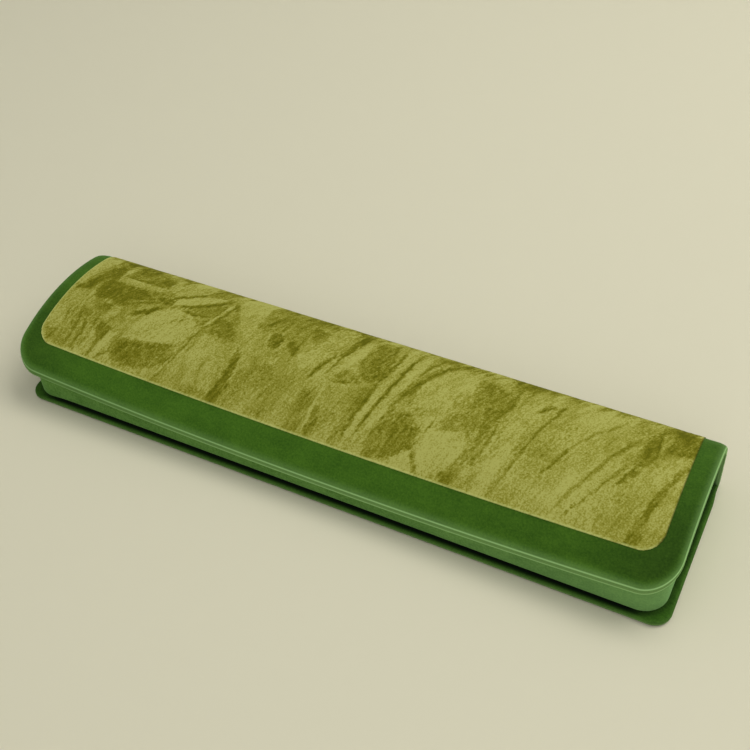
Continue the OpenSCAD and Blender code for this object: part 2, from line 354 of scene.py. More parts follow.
def put_points(mesh, points):
    mesh.vertices.foreach_set("co", points.astype(np.float32).ravel())
    mesh.update()


def move_points(piece, rule):
    """Moves every point of a piece to where a rule of its x, y and z puts it."""
    clear_selection()
    x, y, z = points_of(piece.data).T.astype(float)
    put_points(piece.data, np.stack(rule(x, y, z), axis=1))


plate_wrap = blank("plate_wrap", plate_low, plate_high, plate_corner_r)
soften(plate_wrap, plate_high.z, plate_soft_r, 5)
soften(plate_wrap, plate_low.z, plate_foot_r, 2)
ledge = 14 * mm
slice_up(plate_wrap, x_axis, spread_of(plate_low.x + ledge, plate_high.x - ledge, 8 * mm))
slice_up(plate_wrap, x_axis, spread_of(plate_low.x, plate_low.x + ledge, 0.7 * mm))
slice_up(plate_wrap, x_axis, spread_of(plate_high.x - ledge, plate_high.x, 0.7 * mm))
slice_up(plate_wrap, y_axis, spread_of(plate_low.y + plate_soft_r, plate_low.y + ledge, 0.4 * mm))
slice_up(plate_wrap, y_axis, spread_of(plate_low.y + ledge, plate_high.y, 1.5 * mm))
drop_faces(plate_wrap, lambda points: all(abs(p.z - plate_low.z) < hair for p in points))


def step_up(value, low, high):
    share = np.clip((value - low) / (high - low), 0, 1)
    return share * share * (3 - 2 * share)


def inside_of(x, y, half, front, corner_r):
    """How far a point is inside an outline with two round front corners and an open back."""
    across, ahead = half - np.abs(x), y - front
    in_corner = (across < corner_r) & (ahead < corner_r)
    round_way = corner_r - np.hypot(corner_r - across, corner_r - ahead)
    return np.where(in_corner, round_way, np.minimum(across, ahead))


def plate_way(x, y, z):
    """Counted from below the arris, so that the painted highlight falls on the plate's side."""
    way = (plate_high.z - z) - inside_of(x - base_x, y, base_half, plate_low.y, plate_corner_r)
    return way - 0.9 * mm


def painted_shade_under_tray(x, y, z):
    """Painted shade on the ledge: black at the tray's foot, fading out towards its soft arris, and weaker
    at the two ends.
    """
    within = inside_of(x - base_x, y, tray_half, tray_low.y, tray_corner_r)
    at_end = step_up(np.abs(x - base_x), base_half - 12 * mm, base_half - 3 * mm)
    at_end = at_end * (1 - 0.6 * step_up(y, plate_low.y + 8 * mm, plate_low.y + 24 * mm))
    dark = 1 - step_up(plate_high.z - z - within, 0.35 * mm, 2.1 * mm)
    return dark * (1 - 0.6 * at_end)


def swell(x, y, z):
    """Thick cloth stands out a little past the board, most of all at the free front."""
    out_x = step_up(np.abs(x - base_x), base_half - plate_corner_r, base_half)
    out_x = out_x * (1 - step_up(y, plate_high.y - 8 * mm, plate_high.y - 1 * mm))
    out_y = 1 - step_up(y, plate_low.y, plate_low.y + plate_corner_r)
    return x + np.sign(x - base_x) * plate_swell.x * out_x, y - plate_swell.y * out_y, z


to_skin(plate_wrap, cloth_t)
mark(plate_wrap, "edge", plate_way)
move_points(plate_wrap, swell)
# hollow here is the painted shade on the ledge under the tray's foot.
mark(plate_wrap, "hollow", painted_shade_under_tray)
add_piece(plate_wrap, base_green, "base", "outer_velvet", "plate_velvet")


# Tray core.
# A moulded tray whose rim follows the underside of the closed lid all round. Its front wall
# is thick enough for the magnets, and its back wall is low so that the spine can turn away.
lining_low, lining_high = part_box("tray_lining")
cover_low, cover_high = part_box("cover_velvet")
tray_inner_r = 3 * mm
foot_in = 1.0 * mm
foot_high = 0.1 * mm
foot_nose = 0.9 * mm
tray_left_out = 0.8 * mm
rim_gap = 0.3 * mm
back_rim_z = 11.85 * mm
cover_t = 2.3 * mm

# The lid's section: a dome, a shoulder and the upright spine. Its free front edge sags.
dome_r = 64.0 * mm
crest = 34.9 * mm
shoulder_r = 10.8 * mm
sag_most = 4.4 * mm
sag_along = 2.16
sag_back = 1.5
case_depth = cover_high.y - cover_low.y
half_len = cover_high.x
dome_z = cover_high.z - dome_r
shoulder_at = case_depth - shoulder_r
shoulder_z = dome_z + math.sqrt((dome_r - shoulder_r) ** 2 - (shoulder_at - crest) ** 2)
join_turn = math.asin((shoulder_at - crest) / (dome_r - shoulder_r))


def sag(x, ahead):
    """How far the lid hangs at a distance behind its front edge."""
    share = np.clip(1 - np.abs(x / half_len) ** sag_along, 0, 1)
    return sag_most * share * np.clip(1 - ahead / crest, 0, 1) ** sag_back


def lid_underside(x, ahead, depth):
    """Height of the lid at a depth under its outer face, over a point of the tray."""
    before = np.minimum(ahead, crest)
    slope = (crest - before) / np.sqrt(dome_r**2 - (crest - before) ** 2)
    front = dome_z + np.sqrt(dome_r**2 - (crest - before) ** 2) - depth * np.sqrt(1 + slope**2)
    dome = dome_z + np.sqrt((dome_r - depth) ** 2 - (ahead - crest) ** 2)
    past = np.clip(ahead - shoulder_at, 0, shoulder_r - depth)
    shoulder = shoulder_z + np.sqrt((shoulder_r - depth) ** 2 - past**2)
    over_join = (ahead - crest) > (dome_r - depth) * math.sin(join_turn)
    return np.where(ahead < crest, front - sag(x, ahead), np.where(over_join, shoulder, dome))


def cut_with(piece, cutter):
    change(piece, "BOOLEAN", operation="DIFFERENCE", object=cutter, solver="EXACT")
    bpy.data.objects.remove(cutter)


cut_past = 1 * mm
square_r = 0.1 * mm
tray_top = cover_high.z + 5 * mm
hollow_low = Vector((lining_low.x + cloth_t, lining_low.y + cloth_t, lining_low.z))
hollow_high = Vector((lining_high.x - cloth_t, lining_high.y - cloth_t, tray_top + cut_past))


def tuck(z):
    """How far the wall is tucked in at a height: a recess at the foot under a round nose."""
    up = np.clip((z - tray_low.z - foot_high) / foot_nose, 0, 1)
    return foot_in * (1 - np.sqrt(up * (2 - up)))


def pulled_in(x, y, way, half, front, corner_r):
    """Moves the points of the tray's outer face inwards by a way, square to its outline."""
    side = np.sign(x - base_x)
    out_x = np.maximum(corner_r - half + np.abs(x - base_x), 0)
    out_y = np.maximum(corner_r - y + front, 0)
    reach = np.hypot(out_x, out_y)
    share = np.where(reach > corner_r - 0.05 * mm, way, 0) / np.maximum(reach, 1e-9)
    return x - side * out_x * share, y + out_y * share


def tray_ring(name, inset):
    """The tray moved in by a distance from its faces, with its rim under the closed lid."""
    low = Vector((tray_low.x + inset, tray_low.y + inset, tray_low.z))
    high = Vector((tray_high.x - inset, tray_high.y - inset, tray_top))
    ring = blank(name, low, high, tray_corner_r - inset)
    grow = Vector((inset, inset, 0))
    inner_r = tray_inner_r + inset
    cut_with(ring, blank("hollow", hollow_low - grow, hollow_high + grow, inner_r, inner_r, 8))
    notch_in = tray_inner_r - inset
    notch_low = Vector((hollow_low.x + notch_in, hollow_high.y - tray_inner_r, back_rim_z - inset))
    notch_high = Vector((hollow_high.x - notch_in, tray_high.y + cut_past, tray_top + cut_past))
    cut_with(ring, blank("notch", notch_low, notch_high, square_r, steps=1))
    slice_up(ring, x_axis, spread_of(tray_low.x, tray_high.x, 4 * mm))
    slice_up(ring, y_axis, spread_of(tray_low.y, cover_low.y + shoulder_at, 2.5 * mm))
    slice_up(ring, y_axis, spread_of(cover_low.y + shoulder_at, tray_high.y, 0.8 * mm))
    nose_shares = (0, 0.03, 0.12, 0.28, 0.5, 0.75, 1)
    slice_up(ring, z_axis, [tray_low.z + foot_high + foot_nose * share for share in nose_shares])

    def rule(x, y, z):
        rim = lid_underside(x, y - cover_low.y, cover_t + rim_gap + inset)
        left = step_up(base_x - x, tray_half - 2 * tray_corner_r, tray_half)
        way = tuck(z) - tray_left_out * left
        x, y = pulled_in(x, y, way, tray_half - inset, low.y, tray_corner_r - inset)
        return x, y, np.where(z > tray_top - cut_past, rim, z)

    move_points(ring, rule)
    return ring


tray_core = tray_ring("tray_core", cloth_t)
moulded = flecked("moulded_tray", 0.7, 0.4 * mm, 3, [srgb(62, 60, 54), srgb(84, 82, 76)], 0.04 * mm)
add_piece(tray_core, moulded, "base", "tray_core", "tray_shell")


# Velvet round the tray.
# A band of the same velvet runs round the walls, is drawn over the rim and goes down inside
# to the lining. It is tucked under at its foot, which leaves a groove over the ledge that painted shade
# makes black.
tray_tones = (srgb(65, 102, 36), srgb(101, 141, 66), srgb(130, 172, 112))
# The tray's arris gets a weak painted highlight, and the last value is painted sheen at the right end.
tray_green = green_velvet("tray_velvet_green", *tray_tones, 0.2, painted_sheen_right=0.35)
rim_r = 0.55 * mm


def round_arrises(piece, radius, steps=3):
    sharp = math.radians(40)
    change(piece, "BEVEL", width=radius, segments=steps, limit_method="ANGLE", angle_limit=sharp)


tray_wrap = tray_ring("tray_wrap", 0.0)
round_arrises(tray_wrap, rim_r)


def under_wrap(points):
    """The tray's underside and floor, and its inner walls up to the lining's top."""
    middle = sum(points, Vector()) / len(points)
    underneath = max(p.z for p in points) < tray_low.z + hair
    within = hollow_low.x - rim_r < middle.x < hollow_high.x + rim_r
    within = within and hollow_low.y - rim_r < middle.y < hollow_high.y + rim_r
    return underneath or (within and middle.z < lining_high.z)


slice_up(tray_wrap, z_axis, [lining_high.z])
drop_faces(tray_wrap, under_wrap)
to_skin(tray_wrap, 0.9 * cloth_t)


def tray_way(x, y, z):
    rim = lid_underside(x, y - cover_low.y, cover_t + rim_gap)
    return (rim - z) - inside_of(x - base_x, y, tray_half, tray_low.y, tray_corner_r)


# Painted shade: black on the tuck at the wall's foot, fading out over its nose.
def painted_groove_shade(x, y, z):
    outside = inside_of(x - base_x, y, tray_half, tray_low.y, tray_corner_r) < 2 * foot_in
    nose = tray_low.z + foot_high
    return np.where(outside, 1 - step_up(z, nose - 0.1 * foot_nose, nose + 0.5 * foot_nose), 0)


mark(tray_wrap, "edge", tray_way)
mark(tray_wrap, "hollow", painted_groove_shade)
add_piece(tray_wrap, tray_green, "base", "outer_velvet", "tray_velvet")


# Magnets of the closure.
# Two plated bars lie in the front wall under the velvet, sloped like the lid over them.
magnet_low, magnet_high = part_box("tray_magnets")
magnet_len = 20 * mm
magnet_w = 3 * mm
magnet_t = 1.4 * mm
magnet_skin = 0.15 * mm
closure_y = (magnet_low.y + magnet_high.y) / 2
steel_tones = [srgb(150, 150, 154), srgb(190, 190, 194)]
steel = flecked("plated_steel", 0.3, 0.3 * mm, 2, steel_tones, 0.01 * mm, strength=0.3,
                stretch=(0.05, 1, 1), metallic=1.0)


def sloped_bars(name, length, width, thick, depth):
    """Two bars with a depth of lid or rim over them, on both sides of the middle."""
    bars = []
    for middle_x in (magnet_low.x + magnet_len / 2, magnet_high.x - magnet_len / 2):
        low = Vector((middle_x - length / 2, closure_y - width / 2, -thick))
        high = Vector((middle_x + length / 2, closure_y + width / 2, 0))
        bar = blank(name, low, high, 0.4 * mm, 0.4 * mm, 3)
        soften(bar, 0, 0.2 * mm, 2)
        slice_up(bar, x_axis, spread_of(low.x, high.x, 4 * mm))
        bars.append(bar)
    clear_selection()
    for bar in bars:
        bar.select_set(True)
    bpy.context.view_layer.objects.active = bars[0]
    bpy.ops.object.join()
    move_points(bars[0], lambda x, y, z: (x, y, lid_underside(x, y - cover_low.y, depth) + z))
    return bars[0]


magnets = sloped_bars("magnets", magnet_len, magnet_w, magnet_t, cover_t + rim_gap + cloth_t + magnet_skin)
add_piece(magnets, steel, "base", "closure_metal", "tray_magnets")


# Lining of the tray.
# A strip of lighter velvet stands round the inner walls, from the floor up to the band.
inner_tones = (srgb(56, 92, 28), srgb(84, 120, 48), srgb(130, 165, 100))
# 0.3 is the strength of a painted highlight, which only the lining's strip has, along its top arris.
inner_green = green_velvet("lining_velvet_green", *inner_tones, 0.3)
tray_strip = blank("tray_strip", lining_low, lining_high, tray_inner_r + cloth_t, tray_inner_r + cloth_t, 8)
strip_low = hollow_low - Vector((0, 0, cut_past))
cut_with(tray_strip, blank("strip_hollow", strip_low, hollow_high, tray_inner_r, tray_inner_r, 8))
round_arrises(tray_strip, 0.12 * mm, 2)
slice_up(tray_strip, x_axis, spread_of(lining_low.x, lining_high.x, 10 * mm))
mark(tray_strip, "edge", lambda x, y, z: lining_high.z - z)
add_piece(tray_strip, inner_green, "base", "inner_velvet", "tray_lining")


# Pad of the insert.
# Foam with velvet drawn over it and glued under the card. The foam crowns, and the sides pull
# in between the corners. The cloth is blown up against a pinned foot and then held to size.
pad_low, pad_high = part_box("insert_velvet")
pad_edge_z = 6.6 * mm
pad_voxel = 1.3 * mm
pad_cap = 1.5 * mm
pad_corner_r = 4 * mm
pad_top = 8.2 * mm


def puff(piece, frames, cap, pinned):
    """Swells a closed cloth form by pressure and lets no point go further than cap."""
    take(piece)
    before = points_of(piece.data)
    group = piece.vertex_groups.new(name="glued")
    group.add([int(i) for i in np.flatnonzero(pinned(before))], 1.0, "REPLACE")
    cloth = piece.modifiers.new("swell", "CLOTH")
    cloth.settings.use_pressure = True
    cloth.settings.uniform_pressure_force = 4
    cloth.settings.effector_weights.gravity = 0
    cloth.settings.vertex_group_mass = group.name
    cloth.point_cache.frame_start, cloth.point_cache.frame_end = 1, frames
    for frame_now in range(1, frames + 1):
        bpy.context.scene.frame_set(frame_now)
    swollen = piece.evaluated_get(bpy.context.evaluated_depsgraph_get())
    step = points_of(swollen.data) - before
    way = np.linalg.norm(step, axis=1, keepdims=True)
    held = before + step * np.minimum(1, cap / np.maximum(way, 1e-9))
    piece.modifiers.remove(cloth)
    piece.vertex_groups.clear()
    bpy.context.scene.frame_set(1)
    put_points(piece.data, held)


overhang = Vector((0.35 * mm, 0.35 * mm, 0))
pad_start = Vector((pad_high.x, pad_high.y, pad_edge_z))
insert_pad = blank("insert_pad", pad_low - overhang, pad_start + overhang, pad_corner_r, pad_corner_r, 8)
soften(insert_pad, pad_edge_z, 1.2 * mm, 3)
take(insert_pad)
insert_pad.data.remesh_voxel_size = pad_voxel
bpy.ops.object.voxel_remesh()
puff(insert_pad, 20, pad_cap, lambda points: points[:, 2] < pad_low.z + 0.5 * pad_voxel)
pad_mid = (pad_low + pad_high) / 2
pad_half = (pad_high - pad_low) / 2
pad_draw = 0.8 * mm


def pad_settled(x, y, z):
    """Keeps the pad in its place in the tray, crowned and with its sides drawn in."""
    reach = pad_half + overhang
    across = np.clip((x - pad_mid.x) / reach.x, -1, 1)
    along = np.clip((y - pad_mid.y) / reach.y, -1, 1)
    x, y = pad_mid.x + across * reach.x, pad_mid.y + along * reach.y
    up = np.clip((z - pad_low.z) / (pad_edge_z - pad_low.z), 0, 1)
    x = x - pad_draw * across * (1 - along**2) * up
    y = y - pad_draw * along * (1 - across**2) * up
    crown = np.clip(1 - across**4, 0, 1) * np.clip(1 - along**2, 0, 1)
    z = z + up**2 * (0.5 * mm * crown)
    return x, y, np.clip(z, pad_low.z, pad_top)


move_points(insert_pad, pad_settled)
change(insert_pad, "SMOOTH", factor=0.5, iterations=4)
change(insert_pad, "SUBSURF", levels=1, render_levels=1)
mark_plain(insert_pad)
add_piece(insert_pad, inner_green, "base", "inner_velvet", "insert_velvet", "insert_foam", smooth=80)


# Hold-down bands.
# Two flat woven elastics go over the pad and down behind it to the tray's floor.
rib_pitch = 1.0 * mm
yarn_pitch = 0.6 * mm
band_cloth, band_surface, band_place = shader("woven_band", 0.8, sheen=0.2)


def threads(axis, pitch):
    """Threads side by side along one axis of the band, as a wave from -1 to 1."""
    way = node(band_cloth, "SeparateXYZ", axis, {"Vector": band_place})
    return worked(band_cloth, "SINE", worked(band_cloth, "MULTIPLY", way, 2 * math.pi / pitch))


ribs = threads("X", rib_pitch)
weave = worked(band_cloth, "MULTIPLY", ribs, threads("Y", yarn_pitch))
weave = worked(band_cloth, "MULTIPLY_ADD", weave, 0.25, 0.5)
weave = worked(band_cloth, "MULTIPLY_ADD", ribs, 0.2, weave)
band_colour = shade_between(band_cloth, weave, 0.1, 0.9, [srgb(30, 54, 14), srgb(62, 92, 34)])
coat(band_cloth, band_surface, band_colour, weave, 0.15 * mm, 0.6)
band_lift = 0.15 * mm


def band_over_pad(name, strap):
    low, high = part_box(strap)
    thick = 0.6 * mm
    down = pad_top + band_lift - low.z
    width = high.y - low.y
    flat_run = width + 2 * down
    stock_low = Vector((low.x, 0, 0))
    band = blank(name, stock_low, Vector((high.x, flat_run, thick)), 0.3 * mm, 0.3 * mm, 2)
    soften(band, thick, 0.2 * mm, 2)
    slice_up(band, y_axis, spread_of(0, flat_run, 0.5 * mm))
    slice_up(band, x_axis, spread_of(low.x, high.x, 2 * mm))
    turn_r = 1.6 * mm

    def rule(x, y, z):
        """Up the front of the pad, over its crown and down behind it, with round turns."""
        straight = down - turn_r
        arc = turn_r * math.pi / 2
        half = width / 2
        run = np.abs(y - flat_run / 2)
        top = half - turn_r
        turn = np.clip((run - top) / arc, 0, 1) * math.pi / 2
        leg = np.clip(run - top - arc, 0, straight)
        reach = np.minimum(run, top) + (turn_r - thick + z) * np.sin(turn)
        height = low.z + straight - leg + (turn_r - thick + z) * np.cos(turn)
        crown = 0.35 * mm * (1 - np.clip(reach / half, 0, 1) ** 2)
        middle = (low.y + high.y) / 2
        return x, middle + np.sign(y - flat_run / 2) * reach, height + crown

    move_points(band, rule)
    add_piece(band, band_cloth, "base", "band", strap)


band_over_pad("band_left", "strap_left")
band_over_pad("band_right", "strap_right")


# Board of the lid.
# Card that is bent over a form into the dome, the shoulder and the spine in one piece.
# It is cut flat like the velvet on it, and the flat blank is then laid over the form.
shoulder_start = crest + dome_r * join_turn
spine_start = shoulder_start + shoulder_r * (math.pi / 2 - join_turn)
cover_run = spine_start + shoulder_z - cover_low.z
cover_corner_r = 9.8 * mm
cover_board_t = cover_t - 2 * cloth_t
corner_wear = 0.45 * mm
corner_wear_r = 6 * mm


def lay_over_lid(x, run, height):
    """Bends flat stock over the lid's form. run goes back from the front edge, height 0 is outside."""
    at_end = step_up(np.abs(x), half_len - 2.2 * mm, half_len)
    off_shoulder = (run - 0.5 * (shoulder_start + spine_start)) / corner_wear_r
    depth = corner_wear * at_end * np.exp(-(off_shoulder**2)) - height
    before = np.minimum(run, crest)
    ahead_z = lid_underside(x, before, 0) - depth * dome_r / np.sqrt(dome_r**2 - (crest - before) ** 2)
    dome_turn = np.clip((run - crest) / dome_r, 0, join_turn)
    dome_y = crest + (dome_r - depth) * np.sin(dome_turn)
    on_dome_z = dome_z + (dome_r - depth) * np.cos(dome_turn)
    turn = join_turn + np.clip((run - shoulder_start) / shoulder_r, 0, math.pi / 2 - join_turn)
    shoulder_y = shoulder_at + (shoulder_r - depth) * np.sin(turn)
    on_shoulder_z = shoulder_z + (shoulder_r - depth) * np.cos(turn)
    places = [run < crest, run < shoulder_start, run < spine_start]
    y = np.select(places, [run, dome_y, shoulder_y], case_depth - depth)
    z = np.select(places, [ahead_z, on_dome_z, on_shoulder_z], shoulder_z - (run - spine_start))
    return x, cover_low.y + y, z


def cut_for_bending(piece, low_x, high_x, low_run, high_run, pitch):
    slice_up(piece, x_axis, spread_of(low_x, high_x, pitch))
    for start, end, step in ((low_run, crest, 2.5 * mm), (crest, shoulder_start, 2.5 * mm),
                             (shoulder_start, spine_start, 0.9 * mm), (spine_start, high_run, 3 * mm)):
        if end > start:
            places = [start, *spread_of(start, min(end, high_run), step)]
            slice_up(piece, y_axis, [place for place in places if low_run < place < high_run])


def cover_blank(name, top, bottom, inset, longer=0.0):
    """Flat stock for one layer of the lid between two depths, held back from its edges."""
    low = Vector((-half_len + inset, inset, -bottom))
    high = Vector((half_len - inset, cover_run + longer, -top))
    return blank(name, low, high, cover_corner_r - inset)


cover_board = cover_blank("lid_board", cloth_t, cloth_t + cover_board_t, cloth_t)
cut_for_bending(cover_board, -half_len, half_len, cloth_t, cover_run, 6 * mm)
move_points(cover_board, lay_over_lid)
add_piece(cover_board, card, "cover", "board", "cover_board")


# Keepers of the closure.
# Two strips of plated steel are let into the board's inner face over the magnets.
keeper_len = 24 * mm
keeper_w = 4.5 * mm
keeper_t = 0.6 * mm
keeper_depth = cover_t - cloth_t - keeper_t + magnet_skin
keepers = sloped_bars("keepers", keeper_len, keeper_w, keeper_t, keeper_depth)
add_piece(keepers, steel, "cover", "closure_metal", "lid_keepers")


# Velvet of the lid.
# It covers the board's outer face, is drawn round its edges and turned in by 5 mm. A window
# is cut in it for the inlay. The free front edge has two soft arrises.
cover_soft_r = 0.75 * mm
turn_in = 5 * mm
hinge_low, hinge_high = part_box("hinge_cloth")
inlay_low, inlay_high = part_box("lid_inlay")
inlay_front = 8.8 * mm
inlay_r = 6.2 * mm
inlay_end = spine_start + shoulder_z - inlay_low.z
hinge_at = spine_start + shoulder_z - hinge_high.z

cover_tones = (srgb(44, 78, 13), srgb(69, 106, 26), srgb(148, 188, 118))
# Both arrises of the lid's edges get a full painted highlight.
cover_green = green_velvet("cover_velvet_green", *cover_tones, 1.0, 1.0)
cover_wrap = cover_blank("lid_velvet", 0, cover_t, 0)


def not_at_foot(points):
    return min(p.y for p in points) < cover_run - hair


soften(cover_wrap, 0, cover_soft_r, 5, not_at_foot)
soften(cover_wrap, -cover_t, cover_soft_r, 4, not_at_foot)
cut_with(cover_wrap, cover_blank("core", cloth_t, cover_t - cloth_t, cloth_t, cut_past))
foot_cut_low = Vector((-half_len - cut_past, hinge_at, -cloth_t))
foot_cut_high = Vector((-foot_cut_low.x, cover_run + cut_past, cut_past))
cut_with(cover_wrap, blank("foot_cut", foot_cut_low, foot_cut_high, square_r, steps=1))
inlay_cut_low = Vector((inlay_low.x, inlay_front, -cloth_t - hair))
inlay_cut_high = Vector((inlay_high.x, inlay_end, cut_past))
cut_with(cover_wrap, blank("window", inlay_cut_low, inlay_cut_high, inlay_r))
lining_top = cover_t - cloth_t
cut_with(cover_wrap, cover_blank("opening", lining_top - hair, cover_t + cut_past, turn_in, cut_past))
cut_for_bending(cover_wrap, -half_len, half_len, 0, cover_run, 5 * mm)
for end in (-half_len, half_len - 12 * mm):
    slice_up(cover_wrap, x_axis, spread_of(end, end + 12 * mm, 1.2 * mm))
slice_up(cover_wrap, y_axis, spread_of(0, 12 * mm, 1.2 * mm))


def cover_way(x, run, height):
    """Held at 0 for a little way along the two sides, where the painted highlight of the edge is wider."""
    way = -height - inside_of(x, run, half_len, 0, cover_corner_r)
    return way + np.clip(-way, 0, 0.18 * mm * step_up(run, 6 * mm, 18 * mm))


def painted_cover_shade(x, run, height):
    """Painted shade on the top at the two front corners, growing to the right and a little near the left
    end, along both ends and on the spine's sides.
    """
    within = inside_of(x, run, half_len, 0, cover_corner_r)
    at_corner = step_up(np.abs(x), half_len - 32 * mm, half_len) * (1 - step_up(run, 8 * mm, 38 * mm))
    on_top = step_up(within, 0.6 * mm, 3 * mm)
    to_right = 0.16 * step_up(x, 0, half_len)
    at_left = 0.09 * step_up(-x, half_len - 14 * mm, half_len - 4 * mm)
    at_left = at_left * np.exp(-(((run - 24 * mm) / (12 * mm)) ** 2))
    at_edge = 0.16 * step_up(np.abs(x), half_len - 3 * mm, half_len - 1 * mm)
    at_edge = at_edge * step_up(run, 8 * mm, 18 * mm)
    on_side = step_up(-height, 0.6 * mm, 1.2 * mm) * step_up(run, shoulder_start, spine_start)
    return np.maximum(on_top * (0.33 * at_corner + to_right + at_left) + at_edge, 0.45 * on_side)


mark(cover_wrap, "edge", cover_way)
# hollow here is the painted shade of the lid's border and spine.
mark(cover_wrap, "hollow", painted_cover_shade)
move_points(cover_wrap, lay_over_lid)
add_piece(cover_wrap, cover_green, "cover", "outer_velvet", "cover_velvet")


# Crushed velvet inlay.
# A panel of olive velvet is glued into the window and stands a little proud of the border.
# Its pile was pressed flat in folds, so it shows light and dark by the way the pile leans.
inlay_proud = 0.3 * mm
inlay_pitch = (0.46 * mm, 0.62 * mm)
inlay_half = (inlay_high.x - inlay_low.x) / 2
inlay_x = (inlay_high.x + inlay_low.x) / 2


def noise_at(wide, long, turn, layers, seed):
    """Layered noise from 0 to 1 over the panel, in blotches that are long one way and narrow the other."""
    angle = math.radians(turn)
    along = (flat_x * math.cos(angle) + flat_run * math.sin(angle)) / long
    across = (flat_run * math.cos(angle) - flat_x * math.sin(angle)) / wide
    values = [noise.fractal(Vector((a, b, seed)), 0.7, 2.1, layers) for a, b in zip(along, across)]
    return 0.5 + 0.5 * np.array(values)


def crease(width, dark, *points):
    """Darkness of one pressed fold along a broken line in mm, thin at its two ends.
    Beside it the pile is lighter, partly as pile that stands up and partly as a painted highlight of the
    fold."""
    lengths = [math.dist(a, b) for a, b in zip(points, points[1:])]
    off = np.full_like(at_x, 99.0)
    share = np.zeros_like(at_x)
    done = 0.0
    for a, b, length in zip(points, points[1:], lengths):
        step_x, step_run = (b[0] - a[0]) / length, (b[1] - a[1]) / length
        along = np.clip((at_x - a[0]) * step_x + (at_run - a[1]) * step_run, 0, length)
        way = np.hypot(at_x - a[0] - along * step_x, at_run - a[1] - along * step_run)
        share = np.where(way < off, (done + along) / sum(lengths), share)
        off = np.minimum(off, way)
        done += length
    ends = np.clip(5 * share, 0, 1) * np.clip(5 - 5 * share, 0, 1)
    off = off / (width * (0.4 + 0.6 * ends))
    return dark * ends * (np.exp(-(off**2)) - 0.3 * np.exp(-((off - 2.1) ** 2)))


def patch(soft, dark, *corners):
    """Darkness of one pressed patch between corners in mm, with a ragged edge."""
    way = np.full_like(at_x, 99.0)
    inside = np.zeros(len(at_x), bool)
    for a, b in zip(corners, corners[1:] + corners[:1]):
        step_x, step_run = b[0] - a[0], b[1] - a[1]
        along = ((at_x - a[0]) * step_x + (at_run - a[1]) * step_run) / (step_x**2 + step_run**2)
        along = np.clip(along, 0, 1)
        way = np.minimum(way, np.hypot(at_x - a[0] - along * step_x, at_run - a[1] - along * step_run))
        if a[1] != b[1]:
            passed = (a[1] > at_run) != (b[1] > at_run)
            inside ^= passed & (at_x < a[0] + (at_run - a[1]) * step_x / step_run)
    way = np.where(inside, way, -way) + 1.5 * (ragged - 0.5)
    share = step_up(way, -0.4 * soft, 0.5 * soft) * (0.9 + 0.7 * (broken - 0.5))
    return dark * (share - 0.25 * np.exp(-(((way + 0.5 * soft + 0.6) / 0.6) ** 2)))


clear_selection()
columns = round(2 * inlay_half / inlay_pitch[0])
rows = round((inlay_end - inlay_front) / inlay_pitch[1])
bpy.ops.mesh.primitive_grid_add(x_subdivisions=columns, y_subdivisions=rows, size=1,
                                location=(inlay_x, (inlay_front + inlay_end) / 2, 0))
inlay = bpy.context.object
inlay.name = "inlay"
inlay.scale = (2 * inlay_half, inlay_end - inlay_front, 1)
bpy.ops.object.transform_apply(location=True, rotation=True, scale=True)
edit(inlay)
corner_cuts = 9
for side, edge_x in ((-1, inlay_low.x), (1, inlay_high.x)):
    centre = Vector((edge_x - side * inlay_r, inlay_front + inlay_r, 0))
    for cut in range(1, corner_cuts):
        turn = math.pi / 2 * cut / corner_cuts
        out = Vector((side * math.sin(turn), -math.cos(turn), 0))
        bpy.ops.mesh.select_all(action="SELECT")
        bpy.ops.mesh.bisect(plane_co=centre + out * inlay_r, plane_no=out, clear_outer=True)
bpy.ops.object.mode_set(mode="OBJECT")

flat_points = points_of(inlay.data)
flat_x, flat_run = flat_points[:, 0].astype(float), flat_points[:, 1].astype(float)
at_x = flat_x / mm + 1.1 * (noise_at(2.5 * mm, 2.5 * mm, 0, 3, 3.7) - 0.5)
at_run = flat_run / mm + 1.1 * (noise_at(2.5 * mm, 2.5 * mm, 0, 3, 31.4) - 0.5)
ragged = noise_at(0.8 * mm, 2.4 * mm, 72, 4, 8.1)
broken = noise_at(1.3 * mm, 3.2 * mm, 66, 4, 77.3)
clouds = noise_at(14 * mm, 22 * mm, 60, 4, 23.9)
smooth_parts = step_up(noise_at(9 * mm, 12 * mm, 70, 2, 47.2), 0.42, 0.6)

